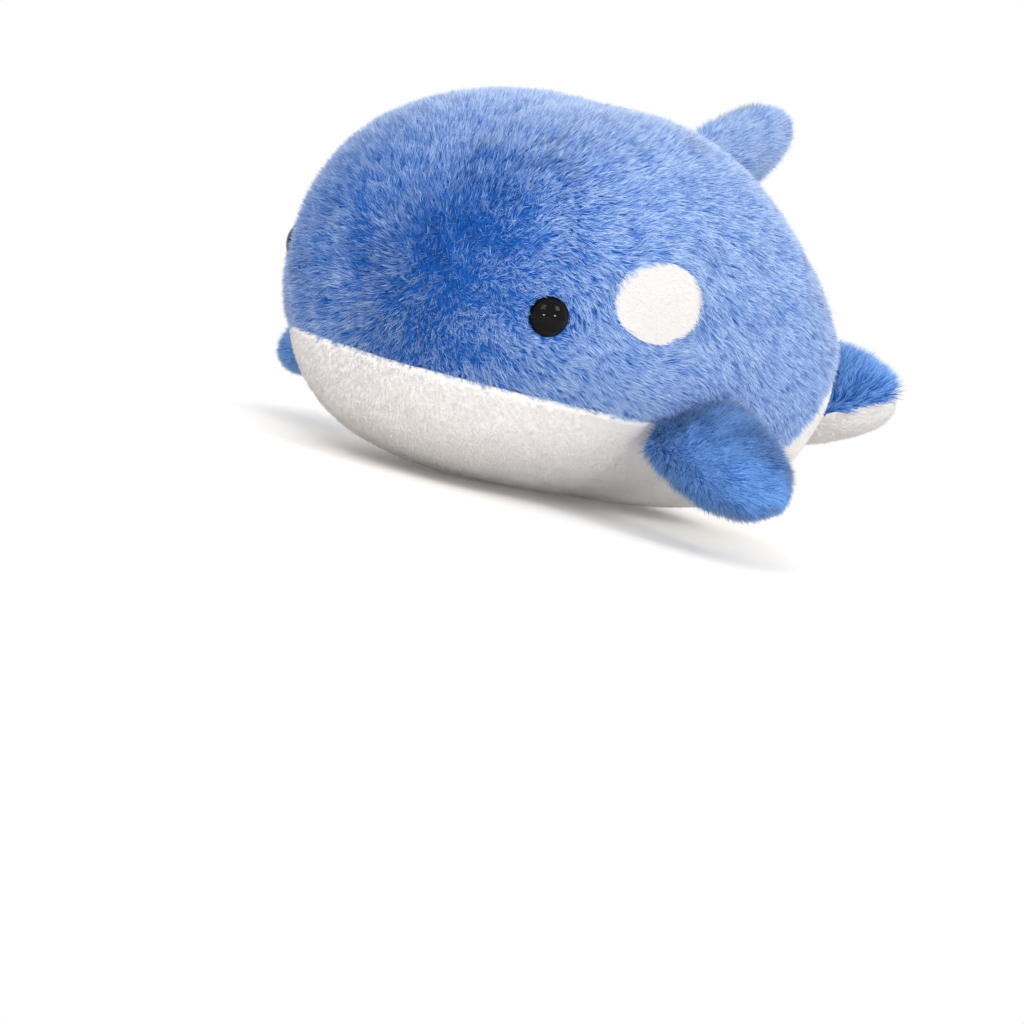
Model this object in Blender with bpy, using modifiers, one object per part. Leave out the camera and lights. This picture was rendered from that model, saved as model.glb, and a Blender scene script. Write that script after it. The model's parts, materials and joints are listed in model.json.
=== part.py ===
"""A stuffed toy whale: plush panels sewn over a fibre filling, two safety eyes, and four padded limbs.

X points to the whale's left, Y towards its tail and Z up. It rests on its belly at Z = 0.
The body is a rounded loaf whose widest section is the waist. Every panel is a slice of one shell.
"""

import math

import bmesh
import bpy
from mathutils import Matrix, Vector

# Body
body_half_width = 0.068
nose_length = 0.0985
rump_length = 0.089
crown_height = 0.0705
belly_depth = 0.054
flat_depth = 0.0005

# Roundness of the body's outlines, where 2 is an ellipse and more is boxier
nose_roundness = 2.7
rump_roundness = 3.9
crown_front_roundness = 2.05
crown_rear_roundness = 1.45
belly_front_roundness = 3.7
belly_rear_roundness = 5.5
upper_section_roundness = 3.0
lower_section_roundness = 2.05

# Plush, its seams and the filling
plush_thickness = 0.003
limb_plush_thickness = 0.002
seam_gap = 0.0004
filling_clearance = 0.0006
belly_seam_drop = 0.0215
seam_climb_start = 0.047
seam_climb_end = 0.068
seam_rump_rise = 0.004
seam_climb_steps = 12

# White patch behind each eye
patch_half_length = 0.0172
patch_half_height = 0.0120
patch_tilt = math.radians(5)
patch_forward_share = 0.414
patch_rise = 0.0158

# Safety eyes
eye_radius = 0.006
eye_dome_height = 0.0048
eye_rim_height = 0.0008
eye_sink = 0.0024
eye_clearance = 0.0003
eye_forward_share = 0.764
eye_rise = 0.0038
post_radius = 0.0016
post_length = 0.0105
washer_radius = 0.0065
washer_thickness = 0.0012

# Clearance between the body and a limb, cut at this many positions on each side of rest
limb_clearance = 0.0004
cut_steps = 2

# Each limb has its full size from this share of its length outwards
limb_swell_share = 0.55
limb_root_roundness = 2.0
limb_tip_roundness = 2.4
fluke_tip_roundness = 2.8

# Flippers
flipper_length = 0.0402
flipper_root_half_width = 0.0185
flipper_half_width = 0.0188
flipper_half_thickness = 0.0112
flipper_root_half_thickness = 0.0038
flipper_root_depth = 0.008
flipper_front_share = 0.275
flipper_front_drop = 0.0272
flipper_back_share = 0.124
flipper_back_drop = 0.0068
flipper_droop = math.radians(12.5)
flipper_sweep = math.radians(16)
flipper_up = math.radians(35)
flipper_down = math.radians(20)

# Dorsal fin
fin_length = 0.0545
fin_root_half_width = 0.0135
fin_half_width = 0.0152
fin_half_thickness = 0.0090
fin_root_half_thickness = 0.0038
fin_root_depth = 0.009
fin_root_share = 0.459
fin_lean_back = math.radians(59.5)
fin_swing = math.radians(25)

# Tail fluke
fluke_half_span = 0.056
fluke_half_thickness = 0.0170
fluke_root_half_thickness = 0.0085
fluke_root_depth = 0.007
fluke_root_length = 0.015
fluke_lobe_length = 0.049
fluke_lead_sweep = 0.018
fluke_tip_drop = 0.005
fluke_rise = 0.001
fluke_hang = 0.0035
fluke_root_drop = 0.0168
fluke_pitch = math.radians(42)
fluke_up = math.radians(20)
fluke_down = math.radians(20)

# Cutters run past what they cut by this much
overrun = 0.010

# A point nearer to its section's centre than this share of the radius is a pole
pole_share = 1e-6
weld_distance = 0.00001
sharp_angle = math.radians(40)

# Counts of segments
body_sides = 26
body_rings = 16
limb_sides = 12
limb_rings = 11
fluke_rings = 15
round_sides = 24
patch_sides = 24
eye_arc_steps = 7

fluke_reach = fluke_lobe_length * math.cos(fluke_pitch) + fluke_hang * math.sin(fluke_pitch)
whale_length = nose_length + rump_length + fluke_reach
waist_height = belly_depth - flat_depth
widest_y = nose_length - whale_length / 2
rump_end_y = widest_y + rump_length
body_reach = body_half_width + overrun


def clear_scene():
    for old in list(bpy.data.objects):
        bpy.data.objects.remove(old, do_unlink=True)


def new_collection(name):
    made = bpy.data.collections.new(name)
    bpy.context.scene.collection.children.link(made)
    return made


def material(name, colour, roughness):
    made = bpy.data.materials.new(name)
    made.use_nodes = True
    shader = made.node_tree.nodes["Principled BSDF"]
    shader.inputs["Base Color"].default_value = (*colour, 1)
    shader.inputs["Roughness"].default_value = roughness
    shader.inputs["Metallic"].default_value = 0
    made.diffuse_color = (*colour, 1)
    return made


clear_scene()
parts = new_collection("plush_whale")
cutters = new_collection("cutters")

blue_plush = material("blue_plush", (0.15, 0.31, 0.70), 0.95)
dark_plush = material("blue_limb_plush", (0.11, 0.25, 0.62), 0.95)
white_plush = material("white_plush", (0.84, 0.81, 0.78), 0.95)
patch_plush = material("white_patch_plush", (0.92, 0.91, 0.89), 0.95)
fibre = material("polyester_fibre", (0.90, 0.90, 0.88), 1.0)
black_plastic = material("black_eye_plastic", (0.004, 0.004, 0.005), 0.08)
clear_plastic = material("natural_nylon", (0.75, 0.74, 0.70), 0.45)


def add_object(name, mesh, collection, finish=None):
    """Links a mesh as an object, shaded smooth with its sharp edges kept."""
    made = bpy.data.objects.new(name, mesh)
    collection.objects.link(made)
    if finish is None:
        made.hide_render = True
        made.display_type = "WIRE"
    else:
        mesh.materials.append(finish)
        mesh.shade_smooth()
        mesh.set_sharp_from_angle(angle=sharp_angle)
    return made


def add_boolean(target, cutter, operation="DIFFERENCE"):
    cut = target.modifiers.new(cutter.name, "BOOLEAN")
    cut.operation = operation
    cut.object = cutter


# The body's form

def outline(share, roundness):
    """Half the height of a rounded outline of half length 1, at this share of the half length."""
    return max(0.0, 1 - abs(share) ** roundness) ** (1 / roundness)


def body_section(y):
    """Half the width, the height above the waist and the depth below it, at this distance from the widest section."""
    share = max(-1.0, min(1.0, y / nose_length if y < 0 else y / rump_length))
    if y < 0:
        rounds = (nose_roundness, crown_front_roundness, belly_front_roundness)
    else:
        rounds = (rump_roundness, crown_rear_roundness, belly_rear_roundness)
    return (
        body_half_width * outline(share, rounds[0]),
        crown_height * outline(share, rounds[1]),
        belly_depth * outline(share, rounds[2]),
    )


def body_point(y, cosine, sine):
    """The point of the body's surface at this section, whose direction from its centre has this cosine and sine."""
    half_width, height, depth = body_section(y)
    upper = sine > 0
    power = 2 / (upper_section_roundness if upper else lower_section_roundness)
    across = math.copysign(abs(cosine) ** power, cosine)
    rise = math.copysign(abs(sine) ** power, sine)
    return Vector(
        (
            half_width * across,
            widest_y + y,
            waist_height + (height if upper else depth) * rise,
        )
    )


def body_value(point):
    """Under 1 inside the body, 1 on its surface and over 1 outside it."""
    half_width, height, depth = body_section(point.y - widest_y)
    rise = point.z - waist_height
    power = upper_section_roundness if rise > 0 else lower_section_roundness
    return abs(point.x / half_width) ** power + abs(rise / (height if rise > 0 else depth)) ** power


def side_point(y, rise):
    """The point of the left flank at this section and this height above the waist."""
    half_width, height, depth = body_section(y)
    power = upper_section_roundness if rise > 0 else lower_section_roundness
    share = min(1.0, abs(rise) / (height if rise > 0 else depth))
    return Vector((half_width * (1 - share**power) ** (1 / power), widest_y + y, waist_height + rise))


def outward(point):
    """The body's outward normal at a point of its surface, from the change of body_value across a small step."""
    step = plush_thickness / 2
    slopes = []
    for axis in (Vector((1, 0, 0)), Vector((0, 1, 0)), Vector((0, 0, 1))):
        slopes.append(body_value(point + step * axis) - body_value(point - step * axis))
    return Vector(slopes).normalized()


def finished(name, shape):
    """Turns a bmesh into a mesh of this name."""
    mesh = bpy.data.meshes.new(name)
    shape.to_mesh(mesh)
    shape.free()
    return mesh


def body_mesh(name, sides, rings):
    """A UV sphere whose pole is turned to the nose, with each point moved onto the body's surface."""
    shape = bmesh.new()
    bmesh.ops.create_uvsphere(shape, u_segments=sides, v_segments=rings, radius=1)
    for point in shape.verts:
        station = max(-1.0, min(1.0, point.co.z))
        y = -station * (nose_length if station > 0 else rump_length)
        ring = math.hypot(point.co.x, point.co.y)
        if abs(station) > 1 - pole_share:
            point.co = Vector((0, widest_y + y, waist_height))
        else:
            point.co = body_point(y, point.co.x / ring, point.co.y / ring)
    return finished(name, shape)


def prism(name, corners, low, high):
    """A cutter with this outline in the YZ plane, from X = low to X = high."""
    shape = bmesh.new()
    base = shape.faces.new([shape.verts.new((low, y, z)) for y, z in corners])
    swept = bmesh.ops.extrude_face_region(shape, geom=[base])
    moved = [item for item in swept["geom"] if isinstance(item, bmesh.types.BMVert)]
    bmesh.ops.translate(shape, verts=moved, vec=(high - low, 0, 0))
    bmesh.ops.recalc_face_normals(shape, faces=shape.faces)
    return add_object(name, finished(name, shape), cutters)


def rod(name, radius, depth, frame, sides, stretch=(1, 1)):
    """A cylinder along the frame's Z, from its origin up by depth, as a mesh in world space."""
    shape = bmesh.new()
    bmesh.ops.create_cone(
        shape, cap_ends=True, segments=sides, radius1=radius, radius2=radius, depth=depth
    )
    lift = Matrix.Translation((0, 0, depth / 2))
    widen = Matrix.Diagonal((*stretch, 1, 1))
    bmesh.ops.transform(shape, matrix=frame @ widen @ lift, verts=shape.verts)
    return finished(name, shape)


def frame_from(origin, x_axis, y_axis, z_axis):
    turned = Matrix((x_axis, y_axis, z_axis)).transposed().to_4x4()
    return Matrix.Translation(origin) @ turned


def surface_frame(y, rise, side, tilt=0.0):
    """A frame on the flank: Z outwards, X along the body towards the tail, turned by tilt about Z."""
    point = side_point(y, rise)
    normal = outward(point)
    point.x *= side
    normal.x *= side
    along = (Vector((0, 1, 0)) - normal.y * normal).normalized()
    across = normal.cross(along)
    turn = Matrix.Rotation(tilt * side, 4, "Z")
    return frame_from(point, along, across, normal) @ turn


# Body panels: a shell cut along the centre seam and the belly seam

def seam_rise(y):
    """The belly seam's height above the waist: level round the face and flanks, then up the rump to over the waist."""
    share = (y - seam_climb_start) / (seam_climb_end - seam_climb_start)
    share = max(0.0, min(1.0, share))
    return (belly_seam_drop + seam_rump_rise) * share * share * (3 - 2 * share) - belly_seam_drop


def seam_points(offset):
    """The belly seam as (Y, Z) points from before the nose to behind the rump, moved up by offset."""
    ys = [-nose_length - overrun]
    for step in range(seam_climb_steps + 1):
        ys.append(seam_climb_start + (seam_climb_end - seam_climb_start) * step / seam_climb_steps)
    ys.append(rump_length + overrun)
    return [(widest_y + y, waist_height + seam_rise(y) + offset) for y in ys]


def above_seam(name, low, high):
    """A prism that holds all above the belly seam."""
    run = seam_points(seam_gap / 2)
    roof = waist_height + crown_height + overrun
    return prism(name, run + [(run[-1][0], roof), (run[0][0], roof)], low, high)


def below_seam(name):
    """A prism that holds all between the table and the belly seam."""
    run = seam_points(-seam_gap / 2)
    return prism(name, run + [(run[-1][0], 0), (run[0][0], 0)], -body_reach, body_reach)


def plush_shell(name, finish):
    made = add_object(name, body_mesh(name, body_sides, body_rings), parts, finish)
    wall = made.modifiers.new("plush", "SOLIDIFY")
    wall.thickness = plush_thickness
    wall.offset = -1
    return made


sides_of = {"left": 1, "right": -1}
side_panels = {
    "left": plush_shell("side_panel_left", blue_plush),
    "right": plush_shell("side_panel_right", blue_plush),
}
add_boolean(side_panels["left"], above_seam("left_half", seam_gap / 2, body_reach), "INTERSECT")
add_boolean(side_panels["right"], above_seam("right_half", -body_reach, -seam_gap / 2), "INTERSECT")
belly_panel = plush_shell("belly_panel", white_plush)
add_boolean(belly_panel, below_seam("belly_region"), "INTERSECT")


# Filling of the body

body_filling = add_object(
    "body_filling", body_mesh("body_filling", body_sides, body_rings), parts, fibre
)
shrink = body_filling.modifiers.new("inside_the_plush", "DISPLACE")
shrink.strength = -(plush_thickness + filling_clearance)
shrink.mid_level = 0


# White patches, each let into an opening of its side panel

def patch_cutter(name, side, margin):
    """An oval cylinder through the plush at the patch, larger than the patch all round by margin."""
    frame = surface_frame(-patch_forward_share * nose_length, patch_rise, side, patch_tilt)
    depth = 2 * overrun
    stretch = (patch_half_length + margin, patch_half_height + margin)
    mesh = rod(name, 1, depth, frame @ Matrix.Translation((0, 0, -overrun)), patch_sides, stretch)
    return add_object(name, mesh, cutters)


for side_name, side in sides_of.items():
    patch = plush_shell(f"eye_patch_{side_name}", patch_plush)
    add_boolean(patch, patch_cutter(f"patch_outline_{side_name}", side, 0), "INTERSECT")
    add_boolean(side_panels[side_name], patch_cutter(f"patch_opening_{side_name}", side, seam_gap))


# Safety eyes: a dome on a post, held by a washer behind the plush

def eye_profile():
    """The eye from the top of its dome down its outer side to the end of its post, in its own frame."""
    points = []
    rise = eye_dome_height - eye_rim_height
    for step in range(eye_arc_steps + 1):
        turn = math.pi / 2 * step / eye_arc_steps
        points.append((eye_radius * math.sin(turn), eye_rim_height + rise * math.cos(turn)))
    tip_radius = post_radius / 2
    points.append((eye_radius, 0))
    points.append((post_radius, 0))
    points.append((post_radius, tip_radius - post_length))
    points.append((tip_radius, -post_length))
    points.append((0, -post_length))
    return points


def turned(name, profile, frame, finish):
    """Spins a profile in the XZ plane about Z and places it."""
    shape = bmesh.new()
    verts = [shape.verts.new((x, 0, z)) for x, z in profile]
    for first, second in zip(verts, verts[1:]):
        shape.edges.new((first, second))
    made = bpy.data.objects.new(name, finished(name, shape))
    parts.objects.link(made)
    made.data.materials.append(finish)
    made.matrix_world = frame
    spin = made.modifiers.new("turned", "SCREW")
    spin.axis = "Z"
    spin.steps = round_sides
    spin.render_steps = round_sides
    spin.use_merge_vertices = True
    spin.merge_threshold = weld_distance
    spin.use_smooth_shade = True
    return made


def eye_frame(side, height):
    frame = surface_frame(-eye_forward_share * nose_length, eye_rise, side)
    return frame @ Matrix.Translation((0, 0, height))


for side_name, side in sides_of.items():
    turned(f"eye_{side_name}", eye_profile(), eye_frame(side, -eye_sink), black_plastic)
    seat_depth = eye_sink + eye_clearance
    seat = rod(
        f"eye_seat_{side_name}",
        eye_radius + eye_clearance,
        seat_depth + overrun,
        eye_frame(side, -seat_depth),
        round_sides,
    )
    post_hole = rod(
        f"post_hole_{side_name}",
        post_radius + eye_clearance,
        plush_thickness + 2 * overrun,
        eye_frame(side, -plush_thickness - overrun),
        round_sides,
    )
    add_boolean(side_panels[side_name], add_object(f"eye_seat_{side_name}", seat, cutters))
    hole_cutter = add_object(f"post_hole_{side_name}", post_hole, cutters)
    add_boolean(side_panels[side_name], hole_cutter)

    washer_seat = rod(
        f"washer_seat_{side_name}",
        washer_radius + eye_clearance,
        overrun,
        eye_frame(side, -plush_thickness - overrun),
        round_sides,
    )
    add_boolean(side_panels[side_name], add_object(f"washer_seat_{side_name}", washer_seat, cutters))
    washer_face = plush_thickness + eye_clearance
    washer_mesh = rod(
        f"eye_washer_{side_name}",
        washer_radius,
        washer_thickness,
        eye_frame(side, -washer_face - washer_thickness),
        round_sides,
    )
    washer = add_object(f"eye_washer_{side_name}", washer_mesh, parts, clear_plastic)
    add_boolean(washer, hole_cutter)

    pocket_depth = post_length + eye_sink + eye_clearance
    pocket = rod(
        f"washer_pocket_{side_name}",
        washer_radius + eye_clearance,
        pocket_depth,
        eye_frame(side, -pocket_depth),
        round_sides,
    )
    add_boolean(body_filling, add_object(f"washer_pocket_{side_name}", pocket, cutters))


# Limbs: padded forms pinched at the root, each on a hinge line along its sewn root

def limb_mesh(name, length, widths, thicknesses, root_depth, inset):
    """A UV sphere stretched along X from inside the body to the tip. Y is across the limb and Z through it.

    It swells along a quarter of a sine wave from its root size to its full size and closes in a round tip. A
    form inside it lies inset under its surface, and passes out through its root end.
    """
    length -= inset
    root_depth += inset
    root_half_width, half_width = (size - inset for size in widths)
    root_half_thickness, half_thickness = (size - inset for size in thicknesses)
    shape = bmesh.new()
    bmesh.ops.create_uvsphere(shape, u_segments=limb_sides, v_segments=limb_rings, radius=1)
    for point in shape.verts:
        ring = math.hypot(point.co.x, point.co.y)
        x = (1 + point.co.z) / 2 * (length + root_depth) - root_depth
        share = max(0.0, x / length)
        closing = outline(share, limb_tip_roundness) if x > 0 else outline(x / root_depth, limb_root_roundness)
        swell = math.sin(math.pi / 2 * min(1.0, share / limb_swell_share))
        across = (root_half_width + (half_width - root_half_width) * swell) * closing
        through = (root_half_thickness + (half_thickness - root_half_thickness) * swell) * closing
        if ring > pole_share:
            point.co = Vector((x, across * point.co.x / ring, through * point.co.y / ring))
        else:
            point.co = Vector((x, 0, 0))
    return finished(name, shape)


def half_space(name, frame, upper, size):
    """A box cutter that holds one side of the limb's seam plane, in the limb's frame."""
    shape = bmesh.new()
    bmesh.ops.create_cube(shape, size=2 * size)
    shift = size + seam_gap / 2
    move = Matrix.Translation((0, 0, shift if upper else -shift))
    bmesh.ops.transform(shape, matrix=move, verts=shape.verts)
    made = add_object(name, finished(name, shape), cutters)
    made.matrix_world = frame
    return made


body_block_mesh = body_mesh("body_block", body_sides, body_rings)


def posed_bodies(limb_name, hinge_frame, turn_axis, low, high):
    """Copies of the body, grown by the clearance and turned as the limb sees it at each step of its swing."""
    made = bpy.data.collections.new(f"{limb_name}_swing")
    cutters.children.link(made)
    shares = [step / cut_steps for step in range(1, cut_steps + 1)]
    turns = [0.0] + [low * share for share in shares] + [high * share for share in shares]
    for index, turn in enumerate(turns):
        block = bpy.data.objects.new(f"{limb_name}_body_{index}", body_block_mesh)
        made.objects.link(block)
        block.hide_render = True
        block.display_type = "WIRE"
        grow = block.modifiers.new("clearance", "DISPLACE")
        grow.strength = limb_clearance
        grow.mid_level = 0
        swing = Matrix.Rotation(-turn, 4, turn_axis)
        block.matrix_world = hinge_frame @ swing @ hinge_frame.inverted()
    return made


def hinge_empty(name, frame):
    made = bpy.data.objects.new(name, None)
    parts.objects.link(made)
    made.empty_display_size = plush_thickness
    made.matrix_world = frame
    return made


def add_limb(name, frame, turn_axis, limits, make_mesh, panel_names, finishes, size):
    """Two panels and a filling, modelled in the frame of their hinge, and cut clear of the body through the swing."""
    hinge = hinge_empty(f"{name}_hinge", frame)
    blocks = posed_bodies(name, frame, turn_axis, *limits)
    hollow_name = f"{name}_hollow"
    hollow = add_object(hollow_name, make_mesh(hollow_name, limb_plush_thickness), cutters)
    hollow.matrix_world = frame
    pieces = []
    for panel_name, finish, upper in zip(panel_names, finishes, (True, False)):
        panel = add_object(panel_name, make_mesh(panel_name, 0), parts, finish)
        panel.parent = hinge
        cutter = half_space(f"{panel_name}_side", frame, upper, size)
        add_boolean(panel, cutter, "INTERSECT")
        add_boolean(panel, hollow)
        pieces.append(panel)
    filling_inset = limb_plush_thickness + filling_clearance
    filling = add_object(f"{name}_filling", make_mesh(f"{name}_filling", filling_inset), parts, fibre)
    filling.parent = hinge
    pieces.append(filling)
    for piece in pieces:
        cut = piece.modifiers.new("swing", "BOOLEAN")
        cut.operand_type = "COLLECTION"
        cut.collection = blocks


# Flippers

def flipper_frame(side):
    """On the middle of the flipper's root: X out along the flipper, Y along its root, Z up through it."""
    front = side_point(-flipper_front_share * nose_length, -flipper_front_drop)
    back = side_point(flipper_back_share * rump_length, -flipper_back_drop)
    root = (back - front).normalized()
    middle_y = (front.y + back.y) / 2 - widest_y
    middle_rise = (front.z + back.z) / 2 - waist_height
    origin = side_point(middle_y, middle_rise)
    aim = Vector(
        (
            math.cos(flipper_droop) * math.cos(flipper_sweep),
            math.cos(flipper_droop) * math.sin(flipper_sweep),
            -math.sin(flipper_droop),
        )
    )
    aim = (aim - aim.dot(root) * root).normalized()
    for vector in (origin, root, aim):
        vector.x *= side
    up = aim.cross(root) * side
    return frame_from(origin, aim, root * side, up)


def flipper_mesh(name, inset):
    return limb_mesh(
        name,
        flipper_length,
        (flipper_root_half_width, flipper_half_width),
        (flipper_root_half_thickness, flipper_half_thickness),
        flipper_root_depth,
        inset,
    )


for side_name, side in sides_of.items():
    add_limb(
        f"flipper_{side_name}",
        flipper_frame(side),
        "Y",
        (-flipper_up, flipper_down),
        flipper_mesh,
        (f"flipper_{side_name}_upper", f"flipper_{side_name}_under"),
        (dark_plush, dark_plush),
        flipper_length + flipper_root_depth,
    )


# Dorsal fin

def crown_point(y):
    return Vector((0, widest_y + y, waist_height + body_section(y)[1]))


def fin_frame():
    """On the back's centre seam: X up along the fin, Y along its root towards the tail, Z to the whale's right."""
    y = fin_root_share * rump_length
    step = fin_root_half_width
    root = (crown_point(y + step) - crown_point(y - step)).normalized()
    aim = Vector((0, math.sin(fin_lean_back), math.cos(fin_lean_back)))
    across = aim.cross(root).normalized()
    square = across.cross(aim)
    return frame_from(crown_point(y), aim, square, across), root


def fin_mesh(name, inset):
    return limb_mesh(
        name,
        fin_length,
        (fin_root_half_width, fin_half_width),
        (fin_root_half_thickness, fin_half_thickness),
        fin_root_depth,
        inset,
    )


fin_place, fin_root = fin_frame()
add_limb(
    "fin",
    fin_place,
    fin_place.to_3x3().inverted() @ fin_root,
    (-fin_swing, fin_swing),
    fin_mesh,
    ("fin_panel_right", "fin_panel_left"),
    (blue_plush, blue_plush),
    fin_length + fin_root_depth,
)


# Tail fluke

def fluke_edges(share):
    """The leading and trailing edges at this share of the half span, as distances behind the root line."""
    far = abs(share)
    bulge = math.sin(math.pi / 2 * min(1.0, far / limb_swell_share))
    lead = fluke_lead_sweep * far**3 - fluke_root_depth * (1 - far) ** 2
    trail = fluke_root_length + (fluke_lobe_length - fluke_root_length) * bulge
    return lead, trail - fluke_tip_drop * far**3


def fluke_mesh(name, inset):
    """A UV sphere with its poles at the two tips, whose sections follow the fluke's edges and swell in each lobe.

    A form inside it lies inset under its surface.
    """
    root_half_thickness = fluke_root_half_thickness - inset
    swollen = fluke_half_thickness - fluke_root_half_thickness
    shape = bmesh.new()
    bmesh.ops.create_uvsphere(shape, u_segments=limb_sides, v_segments=fluke_rings, radius=1)
    for point in shape.verts:
        ring = math.hypot(point.co.x, point.co.y)
        share = max(-1.0, min(1.0, point.co.z))
        lead, trail = fluke_edges(share)
        closing = outline(share, fluke_tip_roundness)
        swell = math.sin(math.pi / 2 * min(1.0, abs(share) / limb_swell_share))
        through = (root_half_thickness + swollen * swell) * closing
        chord = ((trail - lead) / 2 - inset) * closing
        if ring > pole_share:
            cosine, sine = point.co.x / ring, point.co.y / ring
        else:
            cosine, sine = 0.0, 0.0
        point.co = Vector(
            (
                (fluke_half_span - inset) * share,
                (lead + trail) / 2 + chord * cosine,
                fluke_rise * share * share - fluke_hang + through * sine,
            )
        )
    return finished(name, shape)


fluke_place = Matrix.Translation((0, rump_end_y, waist_height - fluke_root_drop))
fluke_place = fluke_place @ Matrix.Rotation(fluke_pitch, 4, "X")
add_limb(
    "fluke",
    fluke_place,
    "X",
    (-fluke_down, fluke_up),
    fluke_mesh,
    ("fluke_top_panel", "fluke_under_panel"),
    (dark_plush, white_plush),
    fluke_half_span + overrun,
)
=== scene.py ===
import json
import math

import bmesh
import bpy
import numpy as np
from mathutils import Matrix, Vector


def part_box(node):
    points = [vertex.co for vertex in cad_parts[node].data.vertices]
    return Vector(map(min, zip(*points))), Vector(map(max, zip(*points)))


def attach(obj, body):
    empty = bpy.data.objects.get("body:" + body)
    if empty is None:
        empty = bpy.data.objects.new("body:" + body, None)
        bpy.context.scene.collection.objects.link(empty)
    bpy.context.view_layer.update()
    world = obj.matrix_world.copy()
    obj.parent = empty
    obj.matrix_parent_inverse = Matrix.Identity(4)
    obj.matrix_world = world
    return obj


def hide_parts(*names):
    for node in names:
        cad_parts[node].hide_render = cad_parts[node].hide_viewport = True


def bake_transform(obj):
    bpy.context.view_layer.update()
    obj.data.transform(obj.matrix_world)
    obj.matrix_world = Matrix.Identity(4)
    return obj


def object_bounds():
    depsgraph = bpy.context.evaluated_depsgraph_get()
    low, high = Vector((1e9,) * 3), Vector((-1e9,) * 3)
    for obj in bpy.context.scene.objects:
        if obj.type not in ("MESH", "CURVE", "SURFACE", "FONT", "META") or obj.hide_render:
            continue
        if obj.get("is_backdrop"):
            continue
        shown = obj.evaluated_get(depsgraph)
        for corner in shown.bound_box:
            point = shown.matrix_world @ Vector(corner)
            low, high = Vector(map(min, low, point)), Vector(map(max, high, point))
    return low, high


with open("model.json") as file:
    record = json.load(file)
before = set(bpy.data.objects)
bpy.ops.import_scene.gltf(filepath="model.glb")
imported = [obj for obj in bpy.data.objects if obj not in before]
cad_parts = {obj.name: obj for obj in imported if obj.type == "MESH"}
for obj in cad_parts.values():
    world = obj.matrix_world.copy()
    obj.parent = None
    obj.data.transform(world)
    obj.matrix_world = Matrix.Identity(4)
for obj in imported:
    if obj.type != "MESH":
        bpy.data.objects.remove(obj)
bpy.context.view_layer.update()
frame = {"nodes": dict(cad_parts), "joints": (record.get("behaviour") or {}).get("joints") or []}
bpy.context.scene.view_settings.view_transform = "Standard"


# Camera. The photograph looks at the whale's left cheek from in front and from just over its
# eye, through a long lens, and the whale lies with its tail a little lower than its nose, so the
# camera is rolled instead and the whale stays level on its table.
nose_length = 0.0985
widest_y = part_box("side_panel_left")[0].y + nose_length
waist_height = 0.0535
camera_azimuth = math.radians(38)
camera_elevation = math.radians(2)
camera_roll = math.radians(15.3)
camera_distance = 1.0
focal_pixels = 3160
image_pixels = 1024
sensor_width = 36
waist_pixel = (565.8, 323.7)
clip_start, clip_end = 0.05, 50


def camera_matrix():
    """The camera's place: on a line from the waist point, turned so that the point falls on its pixel."""
    back = Vector(
        (
            math.sin(camera_azimuth) * math.cos(camera_elevation),
            -math.cos(camera_azimuth) * math.cos(camera_elevation),
            math.sin(camera_elevation),
        )
    )
    right = Vector((math.cos(camera_azimuth), math.sin(camera_azimuth), 0))
    up = back.cross(right)
    rolled_right = math.cos(camera_roll) * right + math.sin(camera_roll) * up
    rolled_up = math.cos(camera_roll) * up - math.sin(camera_roll) * right
    middle = image_pixels / 2
    ray = Vector((waist_pixel[0] - middle, middle - waist_pixel[1], -focal_pixels))
    aim = ray.rotation_difference(Vector((0, 0, -1))).to_matrix()
    turn = Matrix((rolled_right, rolled_up, back)).transposed() @ aim
    place = Vector((0, widest_y, waist_height)) + camera_distance * back
    return Matrix.Translation(place) @ turn.to_4x4()


camera = bpy.data.objects.new("camera", bpy.data.cameras.new("camera"))
camera.data.sensor_width = sensor_width
camera.data.lens = focal_pixels * sensor_width / image_pixels
camera.data.clip_start = clip_start
camera.data.clip_end = clip_end
camera.matrix_world = camera_matrix()
bpy.context.collection.objects.link(camera)
bpy.context.scene.camera = camera


# Stuffing of the body. Polyester fibre pressed into a short, fat drop shape: blunt at the nose,
# widest ahead of the middle, flat where it lies on the table. The plush panels are sewn round it
# and held in along their seams, so that it swells between them.
rump_length = 0.089
body_half_width = 0.068
crown_height = 0.0705
belly_depth = 0.054
nose_roundness, rump_roundness = 2.7, 3.9
crown_front_roundness, crown_rear_roundness = 2.05, 1.45
belly_front_roundness, belly_rear_roundness = 3.7, 5.5
upper_section_roundness, lower_section_roundness = 3.0, 2.05
pile_height = 0.0024
backing_thickness = 0.0006
body_swell = 0.0014
body_rings, body_sides = 72, 96
weld_distance = 1e-6
belly_seam_drop = 0.0215
seam_climb_start, seam_climb_end = 0.047, 0.068
seam_rump_rise = 0.004
seam_hold = 0.004
body_weave = 0.005
cloth_steps = 20
cloth_pressure, cloth_mass, cloth_stretch = 12, 0.003, 0.1
cloth_shear = cloth_stretch / 3
easing_factor, easing_steps = 0.5, 3
fibre_white = "#E9E7E2"
lump_size, lump_height = 0.0111, 0.001


def outline(share, roundness):
    """The roundness root of one less the share's power: 1 at the middle, closing in a round end."""
    return np.clip(1 - np.abs(share) ** roundness, 0, 1) ** (1 / roundness)


def smooth(share):
    """0 below 0, 1 above 1, and three squares less two cubes between."""
    share = np.clip(share, 0, 1)
    return share * share * (3 - 2 * share)


def body_section(y):
    """Half the width, the height over the waist and the depth below it, at y from the widest section."""
    front = y < 0
    share = np.clip(np.where(front, y / nose_length, y / rump_length), -1, 1)
    half_width = body_half_width * outline(share, np.where(front, nose_roundness, rump_roundness))
    crown = np.where(front, crown_front_roundness, crown_rear_roundness)
    belly = np.where(front, belly_front_roundness, belly_rear_roundness)
    return half_width, crown_height * outline(share, crown), belly_depth * outline(share, belly)


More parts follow.
